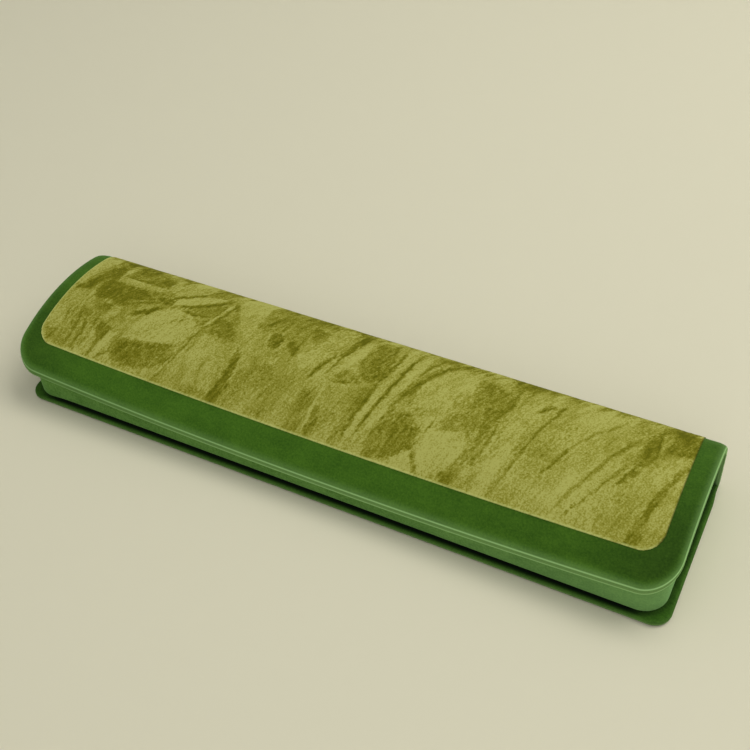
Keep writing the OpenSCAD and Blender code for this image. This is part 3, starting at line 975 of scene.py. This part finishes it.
# Folds and patches of the panel: how soft or wide, how dark, and where in mm to the right of
# the middle and behind the front edge. A darkness under 0 is a place where the pile stands up.
pressed_in = [
    patch(0.8, 0.52, (-98.5, 50), (-95.3, 47), (-95.4, 40.8), (-98.5, 39.3), (-100, 35.5), (-100.5, 32.5),
          (-106.5, 31), (-103.5, 36), (-101.5, 42)),
    patch(1.0, 0.35, (-98, 44.5), (-95.6, 46), (-95.6, 41), (-98.5, 40)),
    patch(0.7, 0.52, (-97.5, 39.5), (-88, 39.7), (-80.5, 39), (-77.5, 36.2), (-84.5, 33), (-84.8, 30.3),
          (-96.5, 29.8), (-99, 33)),
    patch(1.5, 0.30, (-98, 36), (-91, 37), (-88, 33), (-90, 30.3), (-96, 30.3)),
    patch(0.8, 0.28, (-92.5, 52), (-78, 52), (-74, 47), (-76, 44), (-84, 43.6), (-92, 43.4)),
    patch(1.0, 0.40, (-90, 50), (-86, 49), (-87, 46.5), (-90, 47)),
    patch(1.2, 0.30, (-81, 50), (-76, 48), (-77, 45), (-80, 46)),
    patch(0.5, -0.46, (-95.3, 42.8), (-92, 43.4), (-84, 43.2), (-75.5, 43.2), (-73.5, 41.6), (-80, 40.3),
          (-90, 40.4), (-95, 40.2)),
    patch(0.4, -0.70, (-95, 52), (-91, 52), (-94.6, 41.5), (-95, 44)),
    patch(0.6, 0.55, (-76, 38), (-71.5, 39.7), (-69.6, 37.3), (-70.6, 35.6), (-75, 36.6)),
    patch(0.4, 0.72, (-81.3, 27), (-79.5, 30), (-75.5, 32), (-71.3, 35), (-74.5, 30.2), (-78.5, 27.8)),
    patch(1.0, 0.25, (-86, 30), (-80, 31), (-76, 36), (-82, 33.5)),
    patch(0.4, -0.52, (-78.5, 18.8), (-75.3, 28.5), (-69.7, 35.3), (-64, 35.6), (-55.5, 32.8), (-55, 29),
          (-58.8, 22.6), (-69.5, 19.8)),
    patch(0.4, -0.55, (-69.8, 40.6), (-62, 45.3), (-57.5, 47.5), (-54, 47), (-58.5, 43.2), (-64, 38.8),
          (-69.4, 36.2)),
    patch(0.6, -0.35, (-76, 43.5), (-70, 41.3), (-61, 48.5), (-60, 52), (-76, 52)),
    patch(0.6, 0.42, (-79.5, 18.3), (-69.5, 19.8), (-60, 22), (-57.5, 19.5), (-58.6, 15.2), (-63, 12.5),
          (-70, 10.8), (-77, 10.6), (-80.5, 14)),
    patch(1.2, 0.18, (-78, 17.5), (-71, 18), (-68, 15), (-74, 12.5), (-78.5, 14)),
    patch(0.5, 0.50, (-88.8, 21.5), (-84, 21.2), (-82.3, 22.3), (-84, 17.5), (-85.8, 13), (-86.3, 9),
          (-87.5, 9), (-86.5, 15), (-89.3, 19)),
    patch(0.8, 0.38, (-95.5, 30), (-88, 29), (-86.8, 27), (-91, 25.3), (-96.5, 26.5)),
    patch(0.8, 0.35, (-105.5, 13.8), (-102, 14.2), (-100.8, 10.5), (-103.5, 10)),
    patch(0.5, -0.50, (-108, 52), (-101.3, 52), (-104, 40), (-106, 33.5), (-108, 33)),
    patch(0.6, -0.45, (-88, 28.5), (-85.2, 30), (-84.5, 27), (-87.3, 22.3), (-89, 22.5)),
    patch(0.35, -0.60, (-85.8, 9.5), (-83.6, 19.5), (-80.3, 19.7), (-82.5, 13.5), (-84.2, 9.5)),
    patch(1.0, 0.22, (-101, 25), (-94, 25), (-91, 15), (-92, 9.5), (-101, 10)),
    crease(0.35, -0.55, (-99.5, 10), (-99, 22), (-98.8, 33), (-97.8, 37)),
    crease(0.40, 0.40, (-101.8, 25), (-101.2, 17), (-102, 10)),
    crease(0.45, 0.40, (-97.3, 25), (-96, 18), (-96.6, 9)),
    crease(0.45, 0.40, (-94.5, 23.5), (-92.8, 16), (-94, 9)),
    crease(0.35, 0.35, (-90.8, 24.5), (-90, 18), (-91.2, 10)),
    crease(0.45, 0.50, (-93.5, 43.2), (-89, 43.9), (-84, 43.6)),
    crease(0.50, 0.45, (-82, 34.6), (-77, 36.8), (-72, 39)),
    crease(0.50, 0.45, (-85, 31.6), (-79, 33.7), (-72.5, 36.6)),
    crease(0.60, 0.60, (-72.5, 39.5), (-66.5, 43), (-60.5, 48)),
    crease(0.75, 0.75, (-69.6, 36.2), (-64, 38.2), (-58, 41.8), (-53, 45.8), (-50.3, 50)),
    crease(0.35, 0.40, (-69.5, 41.5), (-70, 38), (-69.6, 36)),
    crease(0.30, 0.35, (-70.5, 25.5), (-65, 30), (-59, 34)),
    crease(0.35, 0.45, (-83.5, 9.8), (-79, 14.5)),
    patch(0.6, 0.26, (-64.5, 36.6), (-58, 41.2), (-52.2, 44.5), (-51.4, 40), (-53.2, 36.3), (-59, 35),
          (-64, 35.3)),
    patch(1.6, 0.15, (-36, 47), (-20, 47), (-20, 30), (-34, 30)),
    crease(0.60, 0.50, (-65.5, 35.8), (-60, 35.2), (-54.5, 36.8)),
    patch(0.6, 0.30, (-58.5, 33.8), (-53, 33.2), (-52.5, 31.6), (-56.5, 31.2)),
    crease(0.55, 0.60, (-49.7, 48), (-50.1, 40), (-51.3, 35.3), (-53.4, 31)),
    crease(0.50, 0.55, (-54.1, 31), (-55, 25), (-57.2, 18.5), (-60, 12)),
    crease(0.45, -0.70, (-50.9, 48), (-51.7, 40), (-53.3, 34), (-56, 30.4)),
    crease(0.40, -0.65, (-56.8, 20), (-59.8, 13), (-62, 8.5)),
    patch(0.9, 0.34, (-51.3, 37.5), (-46, 37), (-42.8, 33), (-41, 30.3), (-44, 28.8), (-47, 30),
          (-51.5, 31.2)),
    patch(1.0, -0.40, (-52, 29.5), (-42, 27), (-40.2, 20), (-40.5, 12), (-50, 12), (-53, 20)),
    patch(0.8, -0.50, (-49, 52), (-38, 52), (-37, 36), (-38, 32), (-41.5, 33), (-45.5, 41), (-49, 46)),
    patch(0.4, 0.52, (-38.3, 28.5), (-36, 26.5), (-35.2, 18), (-35.7, 13), (-37, 8), (-40, 8), (-39.6, 14),
          (-38.2, 20)),
    patch(0.7, 0.64, (-31, 37), (-29.5, 39), (-27, 38.5), (-26, 36), (-26.3, 33.5), (-28, 32), (-30.3, 33)),
    patch(0.6, 0.52, (-25, 37.8), (-22.3, 37.8), (-20.2, 34.5), (-20.3, 31.3), (-22, 33.5), (-24, 35.5)),
    crease(0.70, 0.42, (-35.8, 39.5), (-33, 44), (-30.5, 49)),
    crease(0.60, 0.38, (-29.3, 51), (-28.8, 45.5), (-28.9, 39)),
    crease(0.45, 0.32, (-24.5, 47), (-23.8, 41), (-24, 37)),
    crease(0.35, 0.32, (-20.3, 49), (-20.3, 36), (-20, 26)),
    patch(0.8, 0.45, (-20, 47.5), (-14, 46.5), (-13.6, 41.5), (-16, 38.8), (-19, 42.5)),
    patch(2.0, 0.06, (-35, 31), (-22, 31), (-18, 24), (-22, 11), (-34, 9)),
    crease(0.50, 0.28, (-46.2, 23), (-46.4, 17), (-45.8, 11)),
    crease(1.00, 0.45, (-49.8, 46.5), (-47.3, 43)),
    patch(0.4, 0.70, (-3.4, 52), (-0.6, 52), (-2.8, 43), (-4.6, 37.5), (-7.2, 36), (-6, 40.5)),
    crease(0.70, 0.70, (-6.8, 38.5), (-9.6, 32), (-12, 24.5)),
    crease(0.50, 0.52, (-4.9, 38.5), (-5.9, 33.2), (-7.4, 28)),
    patch(0.6, -0.45, (0.5, 52), (-1.5, 42), (-4, 33), (-4.6, 29), (-2.5, 31), (-0.5, 36), (1, 42)),
    patch(1.0, 0.42, (3.5, 51), (9, 51), (10.3, 41), (11, 34), (8.5, 30), (3.5, 32.5), (1, 38),
          (1.6, 43.5)),
    patch(1.0, 0.30, (5, 46), (7, 44), (7, 39.5), (4.5, 38), (3.5, 41)),
    patch(0.5, 0.24, (-5.1, 27.6), (-2, 33), (3.5, 32.5), (5.5, 29.5), (0, 28.2)),
    crease(0.45, 0.55, (-5.6, 27), (-2, 27.9), (2.5, 29.2)),
    crease(0.40, 0.40, (-5, 27.4), (-2.5, 24.5), (-0.8, 21)),
    patch(1.6, 0.28, (9.8, 30), (9, 24), (7.2, 14), (6.2, 9), (3.5, 9), (5.5, 20), (6, 28)),
    crease(0.60, 0.45, (10.2, 36), (9.8, 27), (8.3, 20), (6.6, 9.5)),
    patch(0.4, -0.50, (12.8, 52), (16.2, 52), (14.4, 36), (12.5, 26), (9.5, 13), (8, 13), (10.4, 26),
          (12, 36)),
    patch(0.4, -0.55, (18.5, 52), (22, 52), (19.8, 39), (17.4, 28), (14.5, 17), (12.4, 15), (14.9, 27),
          (16.8, 38)),
    crease(0.55, 0.48, (12.3, 51), (11.9, 41), (11.2, 33)),
    crease(0.45, 0.78, (17.4, 52), (16, 40), (14.4, 30), (12.1, 20), (10, 12)),
    crease(0.50, 0.52, (24.8, 52), (21.8, 44), (20, 38)),
    crease(1.20, 0.60, (30.8, 52), (25.5, 43.5), (21.8, 36), (18.4, 27)),
    crease(0.40, 0.38, (26.5, 49), (24, 44), (21, 39)),
    patch(0.5, 0.40, (17.8, 25.5), (24, 25.3), (29.8, 21.3), (29.5, 15.5), (25, 12), (20, 9.3), (15.5, 9),
          (14.4, 12.5), (16, 19)),
    patch(1.2, 0.26, (22, 22.5), (29, 20.5), (29, 15.5), (24, 13), (21, 15)),
    patch(0.4, -0.50, (20.5, 8.5), (28.5, 14.5), (30, 12.5), (28, 8.5)),
    patch(0.8, 0.30, (-10.8, 22), (-6.2, 22.5), (-6.3, 14), (-7, 9), (-12, 9)),
    patch(0.45, 0.44, (-4.9, 18.5), (-3, 19), (-2, 12.5), (-2.6, 8), (-5.2, 8)),
    crease(0.35, -0.60, (-5.1, 26), (-5.6, 16), (-5.5, 8)),
    patch(1.0, -0.40, (23, 37), (29, 47), (33, 52), (38, 52), (38, 40), (34, 30), (24, 28)),
    patch(1.0, -0.35, (-20, 36), (-12, 52), (-6, 52), (-8, 40), (-12, 30), (-16, 28)),
    patch(1.0, 0.26, (38.5, 47), (44, 47.5), (50.5, 45), (52.3, 38), (49.5, 31), (44.5, 26.5), (38, 27),
          (33, 25), (36.5, 31), (40, 36)),
    patch(0.8, 0.30, (40.5, 47), (44, 45.5), (43.5, 41), (40.8, 40)),
    patch(0.6, 0.35, (44.5, 46), (48.5, 43.5), (47, 41.8)),
    patch(0.6, 0.20, (34, 26), (41, 27.3), (44, 26.3), (40, 24.5), (35, 22.8)),
    patch(0.6, 0.28, (44.4, 36), (50.8, 37), (50.4, 25), (48.6, 17), (47, 14.5), (45.4, 18), (46.2, 24),
          (45.6, 30)),
    patch(0.7, 0.26, (44.6, 19.5), (46.2, 17), (45, 12), (44.2, 8.5), (39.8, 8.5), (42.8, 13.5)),
    crease(0.35, 0.40, (50.3, 34), (49.8, 26), (48.6, 20)),
    crease(0.80, 0.42, (54.7, 51), (54.2, 44), (53, 37)),
    crease(0.70, 0.42, (51.4, 48), (51.2, 42), (50.9, 36)),
    crease(0.35, -0.38, (51.9, 37), (51.5, 30), (50.4, 21)),
    patch(1.0, -0.55, (50.5, 9), (51.5, 20), (55.5, 26), (57.6, 25), (56.5, 18), (53.6, 9)),
    crease(1.00, 0.62, (59.2, 39.8), (60.8, 43.2), (62.5, 44.3), (64.6, 44.6)),
    crease(0.45, 0.45, (67.8, 52), (65, 43), (62.6, 35), (60.8, 27.5), (58.6, 18.5), (55.2, 8)),
    crease(0.80, 0.35, (66.3, 47.5), (65, 43), (64, 39.5)),
    crease(0.35, 0.42, (33, 30.5), (31.7, 25), (30.6, 20.5)),
    crease(0.40, 0.32, (36, 40), (34.9, 35.5), (35, 31)),
    crease(0.90, 0.38, (29.4, 15.5), (31, 12), (33.3, 8.5)),
    patch(0.7, -0.60, (31.5, 22.5), (38, 23.8), (42.5, 24.5), (44, 21), (41.5, 13), (36, 9.5), (33.5, 10),
          (31, 15)),
    crease(0.25, -1.00, (43.4, 26), (44.5, 23.4)),
    patch(0.7, 0.20, (39.5, 12), (43, 14), (45, 12), (43.5, 8.5), (39.5, 8.5)),
    patch(1.0, -0.30, (52, 52), (60, 52), (59, 40), (58.5, 30), (57, 22), (53, 24), (52.6, 34)),
    crease(0.55, 0.48, (66.8, 17.5), (69, 22.5), (71.2, 28), (73.4, 32)),
    crease(0.60, 0.26, (71.8, 29), (76.8, 38), (81, 43.3), (85.5, 50.5)),
    crease(0.70, 0.36, (80, 40.8), (83, 46)),
    crease(0.80, 0.39, (72.8, 8.3), (76.6, 16.5), (81.6, 26), (86.4, 36), (91.6, 45.5)),
    crease(0.55, 0.36, (76.3, 8.5), (81.6, 17), (86.2, 25), (89.6, 31.5), (91, 35)),
    crease(0.40, 0.28, (76.8, 9), (80, 16)),
    patch(0.6, 0.40, (94.3, 50), (95.3, 45), (96.2, 37.5), (95, 33), (91, 29.8), (90.4, 33), (91, 38.5),
          (92.4, 43.5)),
    patch(0.7, 0.24, (91.5, 39.5), (94, 40.5), (95, 37), (93, 35)),
    crease(0.45, 0.50, (94.8, 52), (95, 44), (96, 36)),
    patch(0.5, 0.42, (88.6, 24.3), (90.4, 30.2), (93.5, 30.3), (91.5, 27.2), (89.6, 24)),
    patch(0.6, 0.46, (99, 52), (106, 52), (106, 42.5), (102, 40.3), (99.6, 41), (97.2, 37.5), (98, 43)),
    patch(0.7, 0.30, (100.5, 50), (104.5, 50), (105, 45), (101, 45.5)),
    patch(0.45, 0.40, (106, 37.5), (104.4, 33), (102.4, 27), (101, 21), (99.8, 15), (99, 8), (95.6, 8),
          (96.8, 15), (98.6, 21), (100.4, 27), (103, 34)),
    patch(0.7, -0.18, (98, 39), (104.5, 41.5), (104.8, 38), (101.5, 33.5), (99, 27), (96.5, 31)),
    patch(1.6, 0.13, (86, 52), (106, 52), (106, 42), (97, 37), (89, 40)),
]
# The base darkness holds a painted light gradient: lighter to the right, most at the front, and darker at
# the left back.
to_right = step_up(flat_x, -35 * mm, 25 * mm)
to_back = step_up(flat_run, 24 * mm, 42 * mm)
left_back = step_up(flat_run, 28 * mm, 36 * mm) * (1 - to_right)
pressed = 0.32 + 0.06 * left_back + to_right * (0.07 * to_back - 0.08) + 0.38 * (clouds - 0.5)
for share in pressed_in:
    pressed = np.where(share > 0, pressed + (1 - pressed) * share, pressed * (1 + share))

# Past the crest the folds run on by chance, as long ridges of noise.
by_chance = step_up(flat_run, 47 * mm, 53 * mm)
ridges = (1 - np.abs(2 * noise_at(4 * mm, 16 * mm, 66, 3, 61.7) - 1)) ** 6
pressed = pressed + by_chance * (0.5 * ridges + 0.8 * (clouds - 0.5))
brushed_way = noise_at(0.55 * mm, 4.5 * mm, 70, 3, 11.3) - 0.5
grains = noise_at(0.7 * mm, 0.9 * mm, 40, 3, 5.9) - 0.5
pressed = pressed + (0.4 * brushed_way + (0.15 + 0.4 * smooth_parts) * grains) * (0.55 + pressed)
pressed = np.clip(pressed + 0.08 * (pressed - 0.35), 0, 1)

store(inlay, "nap", 1 - pressed)
# rim is a painted highlight on the lit front and left edges of the panel, and the line at its right edge is
# painted shadow.
in_from_edge = inside_of(flat_x - inlay_x, flat_run, inlay_half, inlay_front, inlay_r)
lit_side = 1 - step_up(flat_x, inlay_high.x - 2 * mm, inlay_high.x - 0.5 * mm)
painted_rim_share = lit_side * (1 - step_up(in_from_edge, 0.1 * mm, 0.55 * mm))
store(inlay, "rim", painted_rim_share * np.clip(0.1 + 1.2 * ragged, 0, 0.8))
store(inlay, "painted_edge_shadow", 0.75 * (1 - step_up(in_from_edge, 0.1 * mm, 0.5 * mm)) * (1 - lit_side))
relief = 0.12 * mm
flat_points[:, 2] = inlay_proud - relief * pressed
put_points(inlay.data, flat_points)
to_skin(inlay, inlay_proud + cloth_t)
move_points(inlay, lay_over_lid)

crushed_tint = (*srgb(190, 185, 70), 1)
crushed, crushed_surface, crushed_place = shader("crushed_velvet_olive", 0.85, sheen=0.08,
                                                 sheen_tint=crushed_tint, specular=0.08)
grain = speckle(crushed, crushed_place, 0.5 * mm, 5)
nap_now = worked(crushed, "SUBTRACT", grain, 0.5)
nap_now = worked(crushed, "MULTIPLY_ADD", nap_now, 1.4, stored(crushed, "nap"))
crushed_tones = [srgb(87, 87, 5), srgb(109, 107, 18), srgb(138, 136, 50), srgb(166, 165, 86)]
crushed_colour = shade_between(crushed, nap_now, 0.05, 0.95, crushed_tones)
# Painted highlight on the lit edges, then painted shadow along the right edge.
crushed_colour = mixed(crushed, stored(crushed, "rim"), crushed_colour, (*srgb(186, 192, 112), 1))
crushed_colour = mixed(crushed, stored(crushed, "painted_edge_shadow"), crushed_colour, (*srgb(26, 44, 4), 1))
coat(crushed, crushed_surface, crushed_colour, grain, 0.15 * mm, 0.4)
add_piece(inlay, crushed, "cover", "crushed_velvet", "lid_inlay")


# Lining of the lid.
# A lighter velvet is glued over the board's inner face, up to the turned-in edge.
lining = cover_blank("lid_lining", lining_top, cover_t, turn_in)
cut_for_bending(lining, -half_len, half_len, turn_in, cover_run, 6 * mm)
mark_plain(lining)
move_points(lining, lay_over_lid)
add_piece(lining, inner_green, "cover", "inner_velvet", "cover_lining")


# Pad of the lid.
# Thin foam with velvet over it is glued inside the dome, soft at its edges and fuller in the middle.
lid_pad_low, lid_pad_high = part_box("lid_pad_velvet")
lid_pad_t = 1.9 * mm
lid_pad_soft_r = 1.2 * mm
lid_pad_puff = 0.3 * mm
pad_front = lid_pad_low.y - cover_low.y
pad_back_run = 45.2 * mm
lid_pad = blank("lid_pad", Vector((lid_pad_low.x, pad_front, -cover_t - lid_pad_t)),
                Vector((lid_pad_high.x, pad_back_run, -cover_t)), 4 * mm, 4 * mm, 8)
soften(lid_pad, -cover_t - lid_pad_t, lid_pad_soft_r, 5)
cut_for_bending(lid_pad, lid_pad_low.x, lid_pad_high.x, pad_front, pad_back_run, 4 * mm)


def puffed(x, run, height):
    across = (2 * x - lid_pad_low.x - lid_pad_high.x) / (lid_pad_high.x - lid_pad_low.x)
    along = (2 * run - pad_front - pad_back_run) / (pad_back_run - pad_front)
    full = np.clip(1 - across**6, 0, 1) * np.clip(1 - along**2, 0, 1)
    below = np.clip((-height - cover_t) / lid_pad_t, 0, 1)
    return x, run, height - lid_pad_puff * full * below


move_points(lid_pad, puffed)
mark_plain(lid_pad)
move_points(lid_pad, lay_over_lid)
add_piece(lid_pad, inner_green, "cover", "inner_velvet", "lid_pad_velvet", "lid_foam")


# Fold of the hinge.
# The outer velvet runs from under the plate round the foot of the spine and up its back.
# It is laid round the bottom back edge as the closed case has it; the real cloth bends there when the case
# is opened.
fold_run = (hinge_high.y - plate_high.y) + (hinge_high.z - hinge_low.z)
fold_front = plate_high.y
fold_r = 0.8 * mm
fold_end = Vector((half_len, fold_run, cloth_t))
hinge_fold = blank("hinge_fold", Vector((-half_len, 0, 0)), fold_end, square_r, steps=1)
slice_up(hinge_fold, y_axis, spread_of(0, fold_run, 0.3 * mm))
slice_up(hinge_fold, x_axis, spread_of(-half_len, half_len, 8 * mm))
foot_run = hinge_high.y - fold_front


def folded(x, run, height):
    """Flat under the foot of the spine, round its corner and up its back. The outer side is height 0."""
    arc = fold_r * math.pi / 2
    flat_end = foot_run - fold_r
    turn = np.clip((run - flat_end) / arc, 0, 1) * math.pi / 2
    up = np.clip(run - flat_end - arc, 0, None)
    y = fold_front + np.minimum(run, flat_end) + (fold_r - height) * np.sin(turn)
    z = hinge_low.z + fold_r - (fold_r - height) * np.cos(turn) + up
    return x, y, z


move_points(hinge_fold, folded)
mark_plain(hinge_fold)
add_piece(hinge_fold, cover_green, None, "outer_velvet", "hinge_cloth")
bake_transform(hinge_fold)


# Studio.
# A pale floor and a pale backdrop, soft light from above, and the camera where the photograph
# was taken from, found from the case's own edges.
camera_at = Vector((130.06, -211.89, 263.59)) * mm
camera_turn = math.radians(-29.36)
camera_tip = math.radians(43.76)
camera_roll = math.radians(-3.555)
focal_px = 1117.0
picture_px = 750


def plain_wall(name, colour, cells, place, turned=(0, 0, 0)):
    clear_selection()
    bpy.ops.mesh.primitive_grid_add(x_subdivisions=cells, y_subdivisions=cells, size=6,
                                    location=place, rotation=turned)
    wall = bpy.context.object
    wall.name = name
    paint, surface, _ = shader("pale_" + name, 0.9)
    surface.inputs["Base Color"].default_value = (*colour, 1)
    wear(wall, paint)


plain_wall("floor", srgb(208, 203, 177), 8, (0, 0, 0))
plain_wall("backdrop", srgb(222, 222, 222), 4, (0, 0.66, 3), (math.pi / 2, 0, 0))

world = bpy.data.worlds.new("soft_room")
bpy.context.scene.world = world
world.use_nodes = True
world.node_tree.nodes["Background"].inputs["Color"].default_value = (0.96, 0.98, 1.0, 1)
world.node_tree.nodes["Background"].inputs["Strength"].default_value = 0.55


def soft_lamp(name, place, size, power):
    lamp = bpy.data.lights.new(name, "AREA")
    lamp.shape = "RECTANGLE"
    lamp.size, lamp.size_y = size
    lamp.energy = power
    holder = bpy.data.objects.new(name, lamp)
    bpy.context.scene.collection.objects.link(holder)
    holder.location = place
    holder.rotation_euler = (-Vector(place)).to_track_quat("-Z", "Y").to_euler()


soft_lamp("back_light", (0.35, 0.5, 0.85), (1.0, 0.8), 8.6)
soft_lamp("front_light", (0.45, -0.8, 0.6), (0.8, 0.6), 2.2)

ahead = Vector((math.sin(camera_turn), math.cos(camera_turn), 0))
look = ahead * math.cos(camera_tip) - Vector((0, 0, math.sin(camera_tip)))
right = Vector((math.cos(camera_turn), -math.sin(camera_turn), 0))
down = look.cross(right)
view_right = math.cos(camera_roll) * right - math.sin(camera_roll) * down
view_down = math.sin(camera_roll) * right + math.cos(camera_roll) * down
camera_data = bpy.data.cameras.new("camera")
camera_data.sensor_width = 36
camera_data.lens = focal_px / picture_px * camera_data.sensor_width
camera = bpy.data.objects.new("camera", camera_data)
bpy.context.scene.collection.objects.link(camera)
axes = [[view_right[i], -view_down[i], -look[i], camera_at[i]] for i in range(3)]
camera.matrix_world = Matrix(axes + [[0, 0, 0, 1]])
bpy.context.scene.camera = camera
bpy.context.scene.view_settings.view_transform = "Standard"
